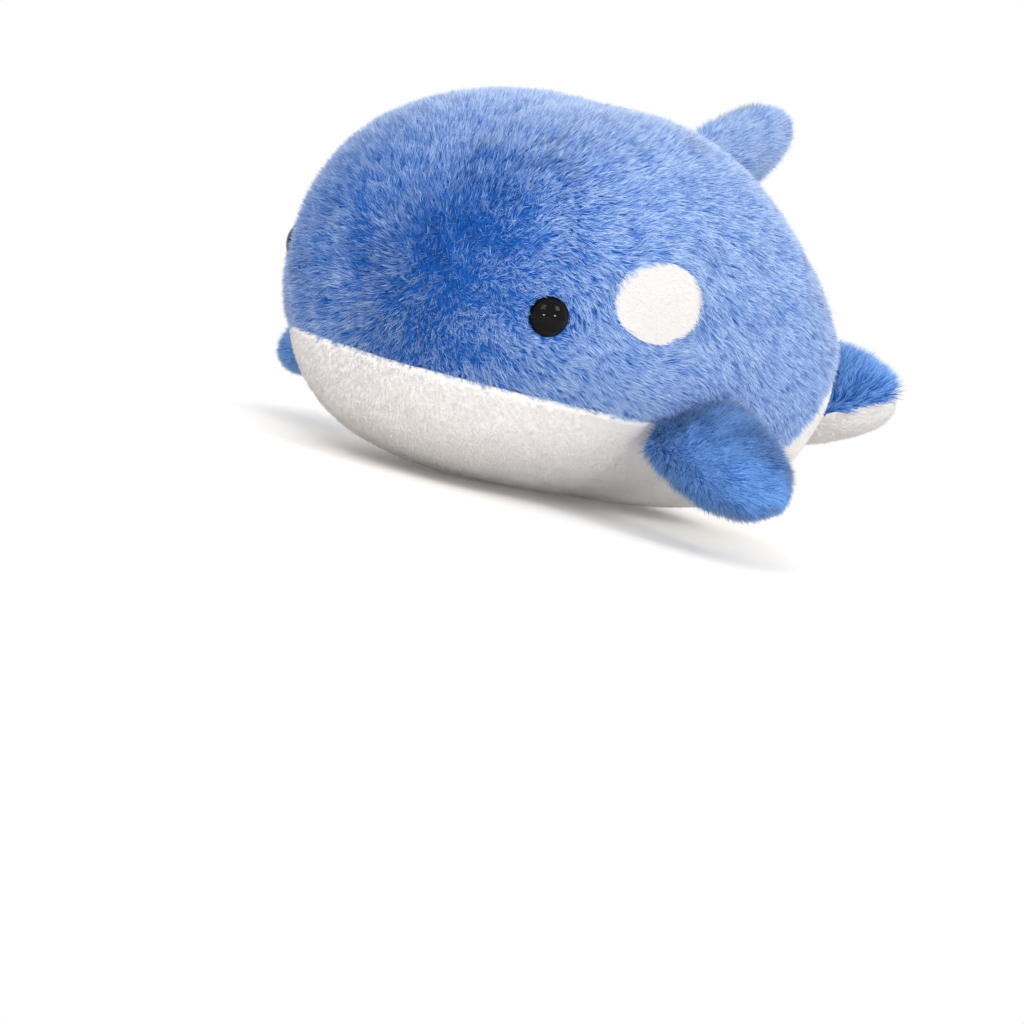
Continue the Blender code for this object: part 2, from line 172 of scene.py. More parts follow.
def body_surface(y, angle):
    """Each section is two half superellipses, one above the waist and a rounder one below it."""
    half_width, height, depth = body_section(y)
    upper = np.sin(angle) > 0
    power = 2 / np.where(upper, upper_section_roundness, lower_section_roundness)
    across = np.sign(np.cos(angle)) * np.abs(np.cos(angle)) ** power
    rise = np.sign(np.sin(angle)) * np.abs(np.sin(angle)) ** power
    x = half_width * across
    z = waist_height + np.where(upper, height, depth) * rise
    return np.stack([x, widest_y + y, z], axis=-1)


def stations(count):
    """Distances from the widest section, nose to rump, spaced as a cosine so that both ends are round."""
    share = -np.cos(np.linspace(0, np.pi, count))
    return np.where(share < 0, share * nose_length, share * rump_length)


def grid_mesh(name, points, wrapped):
    """A mesh of a grid of points, in squares, with its doubled points at poles and corners merged."""
    rows, columns = points.shape[:2]
    number = np.arange(rows * columns).reshape(rows, columns)
    if wrapped:
        number = np.concatenate([number, number[:, :1]], axis=1)
    corners = [number[:-1, :-1], number[:-1, 1:], number[1:, 1:], number[1:, :-1]]
    squares = np.stack(corners, axis=-1).reshape(-1, 4)
    mesh = bpy.data.meshes.new(name)
    mesh.from_pydata(points.reshape(-1, 3).tolist(), [], squares.tolist())
    shape = bmesh.new()
    shape.from_mesh(mesh)
    bmesh.ops.remove_doubles(shape, verts=shape.verts, dist=weld_distance)
    bmesh.ops.dissolve_degenerate(shape, edges=shape.edges, dist=weld_distance)
    shape.to_mesh(mesh)
    shape.free()
    return mesh


def add_piece(name, mesh):
    """Puts a mesh in the scene as an object at the origin, with smooth faces."""
    mesh.polygons.foreach_set("use_smooth", np.ones(len(mesh.polygons), bool))
    piece = bpy.data.objects.new(name, mesh)
    bpy.context.collection.objects.link(piece)
    return piece


def coordinates(mesh):
    """The places of a mesh's points, as rows of x, y and z."""
    flat = np.empty(len(mesh.vertices) * 3, np.float32)
    mesh.vertices.foreach_get("co", flat)
    return flat.reshape(-1, 3).astype(float)


def point_normals(mesh):
    """The outward directions at a mesh's points."""
    flat = np.empty(len(mesh.vertices) * 3, np.float32)
    mesh.vertices.foreach_get("normal", flat)
    return flat.reshape(-1, 3).astype(float)


def move_points(mesh, points):
    """Gives a mesh's points new places."""
    mesh.vertices.foreach_set("co", points.astype(np.float32).ravel())
    mesh.update()


def shrink(mesh, depth):
    """Moves each point inwards by depth."""
    move_points(mesh, coordinates(mesh) - depth * point_normals(mesh))


def fix_modifiers(piece):
    """Replaces a piece's mesh by what its modifiers make of it, and removes them."""
    graph = bpy.context.evaluated_depsgraph_get()
    made = bpy.data.meshes.new_from_object(piece.evaluated_get(graph))
    piece.modifiers.clear()
    piece.data = made
    made.polygons.foreach_set("use_smooth", np.ones(len(made.polygons), bool))


def stuff(piece, weave, swell, held):
    """Blows a form up from inside as cloth under pressure.

    The form is remeshed in squares of the size weave. Points where held(places) is true are sewn down, and
    the others move by swell at most. A little smoothing and one subdivision round the result.
    """
    remesh = piece.modifiers.new("weave", "REMESH")
    remesh.mode = "VOXEL"
    remesh.voxel_size = weave
    fix_modifiers(piece)
    start = coordinates(piece.data)
    sewn = held(start)
    group = piece.vertex_groups.new(name="seams")
    group.add(np.flatnonzero(sewn).tolist(), 1, "REPLACE")
    cloth = piece.modifiers.new("pressure", "CLOTH")
    cloth.settings.vertex_group_mass = group.name
    cloth.settings.use_pressure = True
    cloth.settings.uniform_pressure_force = cloth_pressure
    cloth.settings.mass = cloth_mass
    cloth.settings.tension_stiffness = cloth_stretch
    cloth.settings.compression_stiffness = cloth_stretch
    cloth.settings.shear_stiffness = cloth_shear
    cloth.settings.effector_weights.gravity = 0
    for step in range(1, cloth_steps + 1):
        bpy.context.scene.frame_set(step)
    graph = bpy.context.evaluated_depsgraph_get()
    moved = coordinates(piece.evaluated_get(graph).data) - start
    piece.modifiers.clear()
    bpy.context.scene.frame_set(1)
    distance = np.linalg.norm(moved, axis=1, keepdims=True)
    moved *= np.minimum(1, swell / np.maximum(distance, 1e-9))
    move_points(piece.data, start + moved)
    easing = piece.modifiers.new("easing", "SMOOTH")
    easing.factor = easing_factor
    easing.iterations = easing_steps
    rounding = piece.modifiers.new("rounding", "SUBSURF")
    rounding.levels = rounding.render_levels = 1
    fix_modifiers(piece)


def seam_height(y):
    """The belly seam's height at y from the widest section: level, then climbing over the waist."""
    climb = smooth((y - seam_climb_start) / (seam_climb_end - seam_climb_start))
    return waist_height - belly_seam_drop + (belly_seam_drop + seam_rump_rise) * climb


def near_body_seams(points):
    """True beside the centre seam above the belly, and beside the belly seam."""
    rise = points[:, 2] - seam_height(points[:, 1] - widest_y)
    centre = (np.abs(points[:, 0]) < seam_hold) & (rise > 0)
    return centre | (np.abs(rise) < seam_hold)


def colour(code):
    """Linear red, green, blue and alpha of an sRGB hex colour."""
    parts = [int(code[i : i + 2], 16) / 255 for i in (1, 3, 5)]
    return [p / 12.92 if p <= 0.04045 else ((p + 0.055) / 1.055) ** 2.4 for p in parts] + [1]


def add_node(tree, kind, inputs=None, **settings):
    """Adds a node with its settings; each input is a value or the output of another node."""
    node = tree.nodes.new(kind)
    for key, value in settings.items():
        setattr(node, key, value)
    for key, value in (inputs or {}).items():
        if isinstance(value, bpy.types.NodeSocket):
            tree.links.new(value, node.inputs[key])
        else:
            node.inputs[key].default_value = value
    return node


def new_material(name):
    """An empty material, its node tree and its surface shader."""
    material = bpy.data.materials.new(name)
    material.use_nodes = True
    tree = material.node_tree
    return material, tree, tree.nodes["Principled BSDF"]


def set_shader(shader, sockets):
    """Sets constant values on the shader's own sockets."""
    for key, value in sockets.items():
        shader.inputs[key].default_value = value


def fibre_fill():
    """Polyester fibre fill: soft white, fully matt, with the lumps of handfuls pressed together."""
    material, tree, shader = new_material("polyester_fibre_fill")
    place = add_node(tree, "ShaderNodeTexCoord").outputs["Object"]
    lumps = add_node(tree, "ShaderNodeTexNoise", {"Vector": place, "Scale": 1 / lump_size, "Detail": 5.0})
    rise = {"Height": lumps.outputs["Fac"], "Distance": lump_height, "Strength": 0.6}
    bump = add_node(tree, "ShaderNodeBump", rise)
    tree.links.new(bump.outputs["Normal"], shader.inputs["Normal"])
    set_shader(shader, {"Base Color": colour(fibre_white), "Roughness": 1.0})
    return material


body_ys = np.repeat(stations(body_rings)[:, None], body_sides, axis=1)
body_angles = np.tile(np.linspace(0, -2 * np.pi, body_sides, endpoint=False), (body_rings, 1))
body_stuffing = add_piece(
    "body_stuffing", grid_mesh("body_stuffing", body_surface(body_ys, body_angles), wrapped=True)
)
shrink(body_stuffing.data, pile_height + backing_thickness + body_swell)
stuff(body_stuffing, body_weave, body_swell, near_body_seams)
body_stuffing.data.materials.append(fibre_fill())
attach(body_stuffing, "body")
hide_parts("body_filling")


# Blue side panels. Two long-pile polyester plush panels, left and right, sewn to each other along
# the centre line from nose to rump and to the white belly below. The pile is pale at its tips and
# deep blue at its roots, partly its own colour and partly painted shade of the depths of the pile,
# and lies from the nose towards the tail.
blue_root, blue_tip, blue_spread = "#0462BF", "#BAD4FB", 0.5
# The blue backing's colour is set below the pile's and mottled darker still: painted shade of the deep gaps
# between tufts.
blue_shaded_ground, blue_gap_shade_share = "#115EB8", 0.6
gap_shade_size = 0.000625
sides = (("left", 1), ("right", -1))
panel_rings, panel_columns = 96, 56

# The body's pile: a fibre's length, lean from upright and width, how many each part of a panel has, how
# untidy they are and how far each tuft closes. The parts of a panel's pile meet at these y.
body_pile_length = 0.0040
body_pile_lean = math.radians(50)
body_pile_width = 0.00040
body_pile_count = 108000
body_mess, body_clump = 1, 0.35
side_pile_seed = 10
side_pile_parts = (("front", -1, -0.045), ("middle", -0.045, 0.012), ("rear", 0.012, 1))
body_deepness = 0.3
parting_width = 0.028
face_start, face_blend = -0.03, 0.06
flank_start, flank_blend = -0.06, 0.12
back_parting, face_parting = 0.2, 0.8
body_fall, rear_fall, flank_fall = 0.2, 0.9, 0.3
seam_trim, seam_pile_share, rump_pile_share = 0.007, 0.62, 0.3

# The brow's upright pile, darkened with painted shade, and the short pile round the eye.
brow_side, brow_front, brow_height = 0.02, -0.1, 0.07
brow_reach = (0.03, 0.03, 0.042)
brow_far_share, brow_far_blur = 0.6, 0.03
brow_pile_lean, brow_pile_share = math.radians(34), 0.75
# The first of these is painted shade: how far the brow's fibres are held near their deep root colour, as
# seen looking down into the pile.
brow_painted_shade, brow_evenness, brow_curl = 1.5, 0.5, 0.9
rim_pile_lean, rim_pile_share = math.radians(45), 0.45
rim_blur_share = 0.4

# How all the plush's pile is disturbed: by slow and quick waves, by the tuft and by the fibre.
tuft_size, tuft_radius = 5, 0.00055
whorl_share = 0.5
wave_count, wave_lengths, wave_calm = 8, (0.7, 1.4), 3
slow_swirl, slow_swirl_size = 0.3, 0.021
quick_swirl, quick_swirl_size = 0.22, 0.006
tuft_swirl = 0.14
cloud_shade, cloud_size = 0.3, 0.01
tuft_shade, fibre_shade = 0.45, 0.8
fibre_lean, fibre_sway = 0.12, 0.14
fibre_length_spread, fibre_lengths = 0.1, (0.6, 1.3)
fibre_widths = (0.75, 1.2)
fibre_roundness = 0.6


def seam_angle(y):
    """The angle round a section at which its side reaches the belly seam.

    It is straight down where the whole section is above the seam, and straight up where it is all below.
    """
    half_width, height, depth = body_section(y)
    rise = seam_height(y) - waist_height
    down = np.clip(-rise / np.maximum(depth, 1e-9), 0, 1) ** (lower_section_roundness / 2)
    up = np.clip(rise / np.maximum(height, 1e-9), 0, 1) ** (upper_section_roundness / 2)
    return np.arcsin(up) - np.arcsin(down)


def wrap(piece, target, distance):
    """Lays a panel on the stuffing at a distance."""
    cover = piece.modifiers.new("cover", "SHRINKWRAP")
    cover.target = target
    cover.wrap_method = "NEAREST_SURFACEPOINT"
    cover.wrap_mode = "OUTSIDE_SURFACE"
    cover.offset = distance
    fix_modifiers(piece)


def close_panel(piece):
    """Gives a panel of cloth its thickness, inwards."""
    solid = piece.modifiers.new("wall", "SOLIDIFY")
    solid.thickness = backing_thickness
    solid.offset = -1
    fix_modifiers(piece)


def side_panel(name, side):
    """A grid from nose to rump and from the belly seam up to the centre seam."""
    y = np.repeat(stations(panel_rings)[:, None], panel_columns, axis=1)
    share = np.linspace(0, 1, panel_columns)[None, :]
    low = seam_angle(y)
    points = body_surface(y, low + (np.pi / 2 - low) * share)
    points[..., 0] *= side
    return add_piece(name, grid_mesh(name, points[:, ::-side], wrapped=False))


def waves(points, size, seed):
    """The sum of sine waves about size long in seeded directions, calmed to lie mostly between -1 and 1."""
    chance = np.random.default_rng(seed)
    directions = chance.normal(size=(wave_count, 3))
    directions /= np.linalg.norm(directions, axis=1, keepdims=True)
    phases = chance.uniform(0, 2 * np.pi, wave_count)
    lengths = size * chance.uniform(*wave_lengths, wave_count)
    return np.sin(points @ directions.T * 2 * np.pi / lengths + phases).sum(axis=1) / wave_calm


def unit(vectors):
    """Each row at length one."""
    return vectors / np.maximum(np.linalg.norm(vectors, axis=-1, keepdims=True), 1e-12)


def scatter(piece, count, chance):
    """Random places on a piece's faces, in even steps of their area, with the directions outwards."""
    mesh = piece.data
    mesh.calc_loop_triangles()
    corners = np.empty(len(mesh.loop_triangles) * 3, np.int32)
    mesh.loop_triangles.foreach_get("vertices", corners)
    corners = corners.reshape(-1, 3)
    points, normals = coordinates(mesh), point_normals(mesh)
    a, b, c = (points[corners[:, i]] for i in range(3))
    area = np.cumsum(np.linalg.norm(np.cross(b - a, c - a), axis=1))
    steps = (np.arange(count) + chance.random(count)) / count
    chosen = np.minimum(np.searchsorted(area, steps * area[-1]), len(area) - 1)
    first = np.sqrt(chance.random(count))
    second = chance.random(count)
    shares = np.stack([1 - first, first * (1 - second), first * second], axis=1)[..., None]
    place = (points[corners[chosen]] * shares).sum(axis=1)
    return place, unit((normals[corners[chosen]] * shares).sum(axis=1))


def strand_mesh(name, roots, tips, widths, shades, normals):
    """One pile fibre a row: a three-sided spike from its root, closed there, to its tip.

    Its faces are lit halfway between their own direction and the cloth's, as soft fibres scatter light. No
    point goes below the table.
    """
    count = len(roots)
    axis = unit(tips - roots)
    side = unit(np.cross(axis, normals))
    other = np.cross(axis, side)
    turns = np.arange(3) * 2 * np.pi / 3
    ring = np.cos(turns)[:, None] * side[:, None] + np.sin(turns)[:, None] * other[:, None]
    points = np.concatenate([roots[:, None] + (widths / 2)[:, None, None] * ring, tips[:, None]], axis=1)
    points[..., 2] = np.maximum(points[..., 2], 0)
    lit = np.concatenate([ring, 0 * axis[:, None]], axis=1)
    lit = unit(normals[:, None] + fibre_roundness * lit)
    faces = np.array([(2, 1, 0), (0, 1, 3), (1, 2, 3), (2, 0, 3)])
    loops = (faces[None] + 4 * np.arange(count)[:, None, None]).ravel()
    mesh = bpy.data.meshes.new(name)
    mesh.vertices.add(count * 4)
    mesh.vertices.foreach_set("co", points.astype(np.float32).ravel())
    mesh.loops.add(len(loops))
    mesh.loops.foreach_set("vertex_index", loops.astype(np.int32))
    mesh.polygons.add(len(loops) // 3)
    mesh.polygons.foreach_set("loop_start", np.arange(0, len(loops), 3, dtype=np.int32))
    mesh.update(calc_edges=True)
    along = mesh.attributes.new("along", "FLOAT", "POINT")
    along.data.foreach_set("value", np.tile([0, 0, 0, 1], count).astype(np.float32))
    shade = mesh.attributes.new("shade", "FLOAT", "POINT")
    shade.data.foreach_set("value", np.repeat(shades, 4).astype(np.float32))
    mesh.normals_split_custom_set_from_vertices(lit.reshape(-1, 3))
    return mesh


def pile(name, piece, count, keep, lie, length, width, mess, clump, seed, tuft=tuft_size):
    """Plush pile on a piece, in tufts of tuft fibres that lean the way lie says and close towards one tip.

    For each tuft, lie gives the way it flows, its lean from upright, its share of the full length, how much
    paler it is than the rest and how far it curls to one side or the other. Slow and quick waves turn the
    flow, as a hand leaves it, and mess says by how much. A larger clump closes the tufts' tips more, with
    deeper gaps between them, and the fibres of a tuft that curls are more alike in tone. Where the flow
    runs more into the cloth than along it, the fibres stand up, as at the whorl on the nose.
    """
    chance = np.random.default_rng(seed)
    middles, normals = scatter(piece, count // tuft, chance)
    flow, lean, share, tone, curl = lie(middles)
    flow = flow / np.linalg.norm(flow, axis=1, keepdims=True)
    flow = flow - (flow * normals).sum(axis=1, keepdims=True) * normals
    lean = lean * np.minimum(1, np.linalg.norm(flow, axis=1) / whorl_share)
    flow = unit(flow)
    across = np.cross(normals, flow)
    swirl = slow_swirl * waves(middles, slow_swirl_size, seed + 1)
    swirl = swirl + quick_swirl * waves(middles, quick_swirl_size, seed + 2)
    swirl = mess * (swirl + (tuft_swirl + curl) * chance.normal(0, 1, len(middles)))
    flow, across = (
        np.cos(swirl)[:, None] * flow + np.sin(swirl)[:, None] * across,
        np.cos(swirl)[:, None] * across - np.sin(swirl)[:, None] * flow,
    )
    clouds = cloud_shade * waves(middles, cloud_size, seed + 3)
    shades = tone + mess * (clouds + chance.normal(0, tuft_shade, len(middles)))
    rows = np.repeat(np.arange(len(middles)), tuft)
    spread = chance.normal(0, tuft_radius, (len(rows), 2))
    offset = spread[:, :1] * flow[rows] + spread[:, 1:] * across[rows]
    roots = middles[rows] + offset
    kept = keep(roots)
    rows, offset, roots = rows[kept], offset[kept], roots[kept]
    normal, flow, across = normals[rows], flow[rows], across[rows]
    size = len(rows)
    angle = lean[rows] + mess * chance.normal(0, fibre_lean, size)
    sideways = mess * chance.normal(0, fibre_sway, size)
    aim = np.cos(angle)[:, None] * normal + np.sin(angle)[:, None] * flow + sideways[:, None] * across
    evenness = np.clip(chance.normal(1, fibre_length_spread, size), *fibre_lengths)
    lengths = (length * share[rows] * evenness)[:, None]
    tips = roots + lengths * unit(aim) - clump * offset
    roots = roots - backing_thickness * normal
    widths = width * chance.uniform(*fibre_widths, size)
    shade = shades[rows] + (1 - brow_evenness * curl[rows]) * mess * chance.normal(0, fibre_shade, size)
    return add_piece(name, strand_mesh(name, roots, tips, widths, shade, normal))


def plush(name, root, tip, spread):
    """Polyester plush: matt fibres, deep at the root and pale at the tip, with a faint sheen.

    The colour runs from root to tip by the attribute along, further in the tufts that shade makes paler.
    The deep root colour is partly the fibres' own and partly painted shade of the depths of the pile.
    """
    material, tree, shader = new_material(name)
    along = add_node(tree, "ShaderNodeAttribute", attribute_name="along").outputs["Fac"]
    shade = add_node(tree, "ShaderNodeAttribute", attribute_name="shade").outputs["Fac"]
    reach = add_node(tree, "ShaderNodeMath", {0: shade, 1: spread, 2: 1.0}, operation="MULTIPLY_ADD")
    paleness = add_node(
        tree, "ShaderNodeMath", {0: reach.outputs[0], 1: along}, operation="MULTIPLY", use_clamp=True
    )
    ends = {"Factor": paleness.outputs[0], 6: colour(root), 7: colour(tip)}
    ramp = add_node(tree, "ShaderNodeMix", ends, data_type="RGBA")
    tree.links.new(ramp.outputs[2], shader.inputs["Base Color"])
    set_shader(shader, {"Roughness": 0.8, "Specular IOR Level": 0.2})
    set_shader(shader, {"Sheen Weight": 0.4, "Sheen Roughness": 0.4})
    return material


def mottled(name, dark, pale, size, sockets):
    """A finish whose colour drifts between two tones, in a noise about size across."""
    material, tree, shader = new_material(name)
    place = add_node(tree, "ShaderNodeTexCoord").outputs["Object"]
    drift = add_node(tree, "ShaderNodeTexNoise", {"Vector": place, "Scale": 1 / size, "Detail": 2.0})
    tones = {"Factor": drift.outputs["Fac"], 6: dark, 7: pale}
    base = add_node(tree, "ShaderNodeMix", tones, data_type="RGBA")
    tree.links.new(base.outputs[2], shader.inputs["Base Color"])
    set_shader(shader, sockets)
    return material


def backing(name, base, gap_shade_share):
    """The knitted ground of the plush, seen between the fibres: matt, and mottled darker in small spots:
    painted shade of the deep gaps between tufts.
    """
    dark = [part * gap_shade_share for part in colour(base)[:3]] + [1]
    return mottled(name, dark, colour(base), gap_shade_size, {"Roughness": 1.0})


patch_forward_share, patch_rise = 0.414, 0.0158
patch_half_length, patch_half_width = 0.0172, 0.012
patch_tilt = math.radians(5)
eye_forward_share, eye_rise = 0.764, 0.0038
eye_radius = 0.006
slope_step = 0.001
patch_overlap = 0.98


def body_value(points):
    """Under 1 inside the body, 1 on its surface and over 1 outside: each section's superellipse."""
    half_width, height, depth = body_section(points[:, 1] - widest_y)
    rise = points[:, 2] - waist_height
    power = np.where(rise > 0, upper_section_roundness, lower_section_roundness)
    reach = np.where(rise > 0, height, depth)
    return np.abs(points[:, 0] / half_width) ** power + np.abs(rise / reach) ** power


def flank_frame(forward_share, rise):
    """A point of the left flank, its outward direction, and the directions along and up the flank."""
    y = -forward_share * nose_length
    half_width, height, _ = (float(size) for size in body_section(np.array(y)))
    power = upper_section_roundness
    x = half_width * (1 - (rise / height) ** power) ** (1 / power)
    place = np.array([x, widest_y + y, waist_height + rise])
    steps = slope_step * np.eye(3)
    normal = unit(body_value(place + steps) - body_value(place - steps))
    along = unit(np.array([0, 1, 0]) - normal[1] * normal)
    return place, normal, along, np.cross(normal, along)


def flank_places(points, flank):
    """How far each point, mirrored to the left side, lies along and up the flank from the frame's point."""
    place, _, along, up = flank
    mirrored = np.stack([np.abs(points[:, 0]), points[:, 1], points[:, 2]], axis=1)
    return (mirrored - place) @ along, (mirrored - place) @ up


patch_flank = flank_frame(patch_forward_share, patch_rise)
eye_flank = flank_frame(eye_forward_share, eye_rise)


def patch_reach(points):
    """Under 1 inside the patch's tilted oval, 1 on its edge and over 1 outside."""
    along, up = flank_places(points, patch_flank)
    turned = along * math.cos(patch_tilt) + up * math.sin(patch_tilt)
    rise = up * math.cos(patch_tilt) - along * math.sin(patch_tilt)
    return np.hypot(turned / patch_half_length, rise / patch_half_width)


def eye_distance(points):
    """How far each point, mirrored to the left side, is from the eye's axis along the flank."""
    along, up = flank_places(points, eye_flank)
    return np.hypot(along, up)


def part_round(flow, points, flank, radius):
    """Turns the flow aside round a disc on the flank, as a stream passes a post.

    The flow's part away from the disc's middle is taken off twice and the flow added once, by the square of
    the radius over the distance, so that at the disc's edge it only runs round.
    """
    along, up = flank_places(points, flank)
    _, _, along_axis, up_axis = flank
    distance = np.maximum(np.hypot(along, up), radius)[:, None]
    away = (along[:, None] * along_axis + up[:, None] * up_axis) / distance
    away[:, 0] *= np.sign(points[:, 0])
    share = (radius / distance) ** 2
    return flow + share * (flow - 2 * (flow * away).sum(axis=1, keepdims=True) * away)


def on_blue(points):
    """True above the belly seam, outside the patch and clear of the eye."""
    above = points[:, 2] > seam_height(points[:, 1] - widest_y)
    return above & (patch_reach(points) > patch_overlap) & (eye_distance(points) > eye_radius)


def body_lie(points):
    """The lie of the pile on the body.

    On the face it runs out and back from the centre seam, then it falls down the flanks, and it turns aside
    round the eye and the patch. It stands up on the brow beside the centre seam, more on the left than on
    the right, and there its fibres are held near their deep root colour: painted shade of looking down into
    the pile's roots, also more on the left. It is pressed short round the eye and cut short at the seams,
    most of all at the rump.
    """
    y = points[:, 1] - widest_y
    side = np.tanh(points[:, 0] / parting_width)
    front = smooth((face_start - points[:, 1]) / face_blend)
    back = smooth((points[:, 1] - flank_start) / flank_blend)
    flank = smooth(np.abs(points[:, 0]) / body_half_width)
    outwards = side * (back_parting + face_parting * front)
    fall = -body_fall - rear_fall * back * flank - flank_fall * flank
    flow = np.stack([outwards, np.ones(len(points)), fall], axis=1)
    flow = part_round(flow, points, eye_flank, eye_radius)
    flow = part_round(flow, points, patch_flank, patch_half_length)
    beside = (np.abs(points[:, 0]) - brow_side) / brow_reach[0]
    behind = np.maximum(0, points[:, 1] - brow_front) / brow_reach[1]
    rise = (points[:, 2] - brow_height) / brow_reach[2]
    brow = np.exp(-(beside**2) - behind**2 - rise**2)
    near_side = smooth(0.5 + points[:, 0] / brow_far_blur / 2)
    brow = brow * (brow_far_share + (1 - brow_far_share) * near_side)
    rim = np.exp(-((np.maximum(0, eye_distance(points) - eye_radius) / (rim_blur_share * eye_radius)) ** 2))
    lean = body_pile_lean - (body_pile_lean - brow_pile_lean) * brow
    lean = lean + (rim_pile_lean - lean) * rim
    climb = smooth((y - seam_climb_start) / (seam_climb_end - seam_climb_start))
    short = seam_pile_share - (seam_pile_share - rump_pile_share) * climb
    share = short + (1 - short) * smooth(np.abs(points[:, 2] - seam_height(y)) / seam_trim)
    share = share * (1 - (1 - brow_pile_share) * brow) * (1 + (rim_pile_share - 1) * rim)
    return flow, lean, share, -body_deepness - brow_painted_shade * brow, brow_curl * brow


blue_plush = plush("blue_long_pile_plush", blue_root, blue_tip, blue_spread)
blue_backing = backing("blue_plush_backing", blue_shaded_ground, blue_gap_shade_share)
for side_name, side in sides:
    panel = side_panel(f"side_panel_{side_name}_cloth", side)
    wrap(panel, body_stuffing, backing_thickness)
    for part, low, high in side_pile_parts:
        grown = pile(
            f"side_panel_{side_name}_pile_{part}",
            panel,
            body_pile_count,
            lambda points: on_blue(points) & (points[:, 1] > low) & (points[:, 1] <= high),
            body_lie,
            body_pile_length,
            body_pile_width,
            body_mess,
            body_clump,
            side_pile_seed + side,
        )
        grown.data.materials.append(blue_plush)
        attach(grown, "body")
        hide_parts(f"side_panel_{side_name}")
    close_panel(panel)
    panel.data.materials.append(blue_backing)
    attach(panel, "body")
    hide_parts(f"side_panel_{side_name}")


# White belly panel. Short, dense white plush from under the chin to the rump, where it narrows
# and climbs. It is sewn to both side panels, and its fuzz blurs the line between the colours.
white_root, white_tip, white_spread = "#EAE6E4", "#F1EEEC", 0.2
# The white backing's slight dark mottle is painted shade of the gaps between tufts.
white_gap_shade_share = 0.95
belly_lift = 0.0008
belly_pile_length = 0.0019
belly_pile_lean = math.radians(56)
belly_pile_fall = 0.25
belly_pile_width = 0.00040
belly_pile_count = 80000
belly_mess, belly_clump, belly_tuft = 0.3, 0, 1
belly_pile_seed = 30
belly_pile_parts = (("front", -1, -0.008), ("rear", -0.008, 1))


def belly_panel(name):
    """A grid from nose to rump, under the body from one belly seam to the other."""
    y = np.repeat(stations(panel_rings)[:, None], panel_columns, axis=1)
    share = np.linspace(0, 1, panel_columns)[None, :]
    low = seam_angle(y)
    points = body_surface(y, low + (-np.pi - 2 * low) * share)
    inside = np.flatnonzero(seam_angle(y[:, 0]) > -np.pi / 2)
    kept = slice(max(0, inside[0] - 1), inside[-1] + 1)
    return add_piece(name, grid_mesh(name, points[kept], wrapped=False))


def belly_lie(points):
    """The short pile lies straight back under the body, as brushed."""
    flow = np.tile([0.0, 1.0, -belly_pile_fall], (len(points), 1))
    even = np.ones(len(points))
    return flow, belly_pile_lean * even, even, 0 * even, 0 * even


def on_white(points):
    """True under the belly seam."""
    return points[:, 2] < seam_height(points[:, 1] - widest_y)


white_plush = plush("white_short_pile_plush", white_root, white_tip, white_spread)
white_backing = backing("white_plush_backing", white_root, white_gap_shade_share)
belly = belly_panel("belly_panel_cloth")
wrap(belly, body_stuffing, backing_thickness + belly_lift)
for part, low, high in belly_pile_parts:
    grown = pile(
        f"belly_panel_pile_{part}",
        belly,
        belly_pile_count,
        lambda points: on_white(points) & (points[:, 1] > low) & (points[:, 1] <= high),
        belly_lie,
        belly_pile_length,
        belly_pile_width,
        belly_mess,
        belly_clump,
        belly_pile_seed,
        belly_tuft,
    )
    grown.data.materials.append(white_plush)
    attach(grown, "body")
    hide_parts("belly_panel")
close_panel(belly)
belly.data.materials.append(white_backing)
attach(belly, "body")
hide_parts("belly_panel")


# Eye patches. An oval of the same short white plush, cut to fill an opening in each side panel behind
# the eye and sewn in round its edge, so that the blue pile parts round it.
patch_rings, patch_sides = 14, 64
patch_lift = 2 * backing_thickness
patch_pile_count = 10000
patch_pile_seed = 40


def patch_cloth(name, side):
    """Rings from the patch's middle to its edge, on the flank's tangent plane: a tilted ellipse."""
    turns = np.linspace(0, 2 * np.pi, patch_sides, endpoint=False)
    share, turn = np.meshgrid(np.linspace(0, 1, patch_rings), turns, indexing="ij")
    place, _, along, up = patch_flank
    a = patch_half_length * share * np.cos(turn)
    b = patch_half_width * share * np.sin(turn)
    x = a * math.cos(patch_tilt) - b * math.sin(patch_tilt)
    z = a * math.sin(patch_tilt) + b * math.cos(patch_tilt)
    points = place + x[..., None] * along + z[..., None] * up
    points[..., 0] *= side
    return add_piece(name, grid_mesh(name, points[:, ::-side], wrapped=True))


for side_name, side in sides:
    patch = patch_cloth(f"eye_patch_{side_name}_cloth", side)
    wrap(patch, body_stuffing, patch_lift)
    grown = pile(
        f"eye_patch_{side_name}_pile",
        patch,
        patch_pile_count,
        lambda points: patch_reach(points) < 1,
        belly_lie,
        belly_pile_length,
        belly_pile_width,
        belly_mess,
        belly_clump,
        patch_pile_seed + side,
        belly_tuft,
    )
    close_panel(patch)
    patch.data.materials.append(white_backing)
    grown.data.materials.append(white_plush)
    for piece in (patch, grown):
        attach(piece, "body")
        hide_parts(f"eye_patch_{side_name}")


# Limbs. Two flippers, a dorsal fin and a tail fluke, each of two small panels sewn round their
# edge, turned, stuffed and sewn into the body's seams. Their pile is the same plush, left shaggy.
limb_root_roundness, limb_tip_roundness = 2.0, 2.6
limb_swell_share = 0.55
limb_rings, limb_sides = 40, 48
limb_inset = 0.0034
limb_root_half_thickness = 0.0032
limb_weave, limb_swell, limb_seam_hold = 0.003, 0.0010, 0.0012
limb_root, limb_tip, limb_spread = "#034EAA", "#7EB2F5", 0.65
limb_pile_length = 0.0058
limb_pile_lean = math.radians(52)
limb_pile_width = 0.00037
limb_mess, limb_clump = 1.2, 0.6
limb_bare_root = -0.002
shaggy_pile = (limb_pile_length, limb_mess, limb_clump, tuft_size)


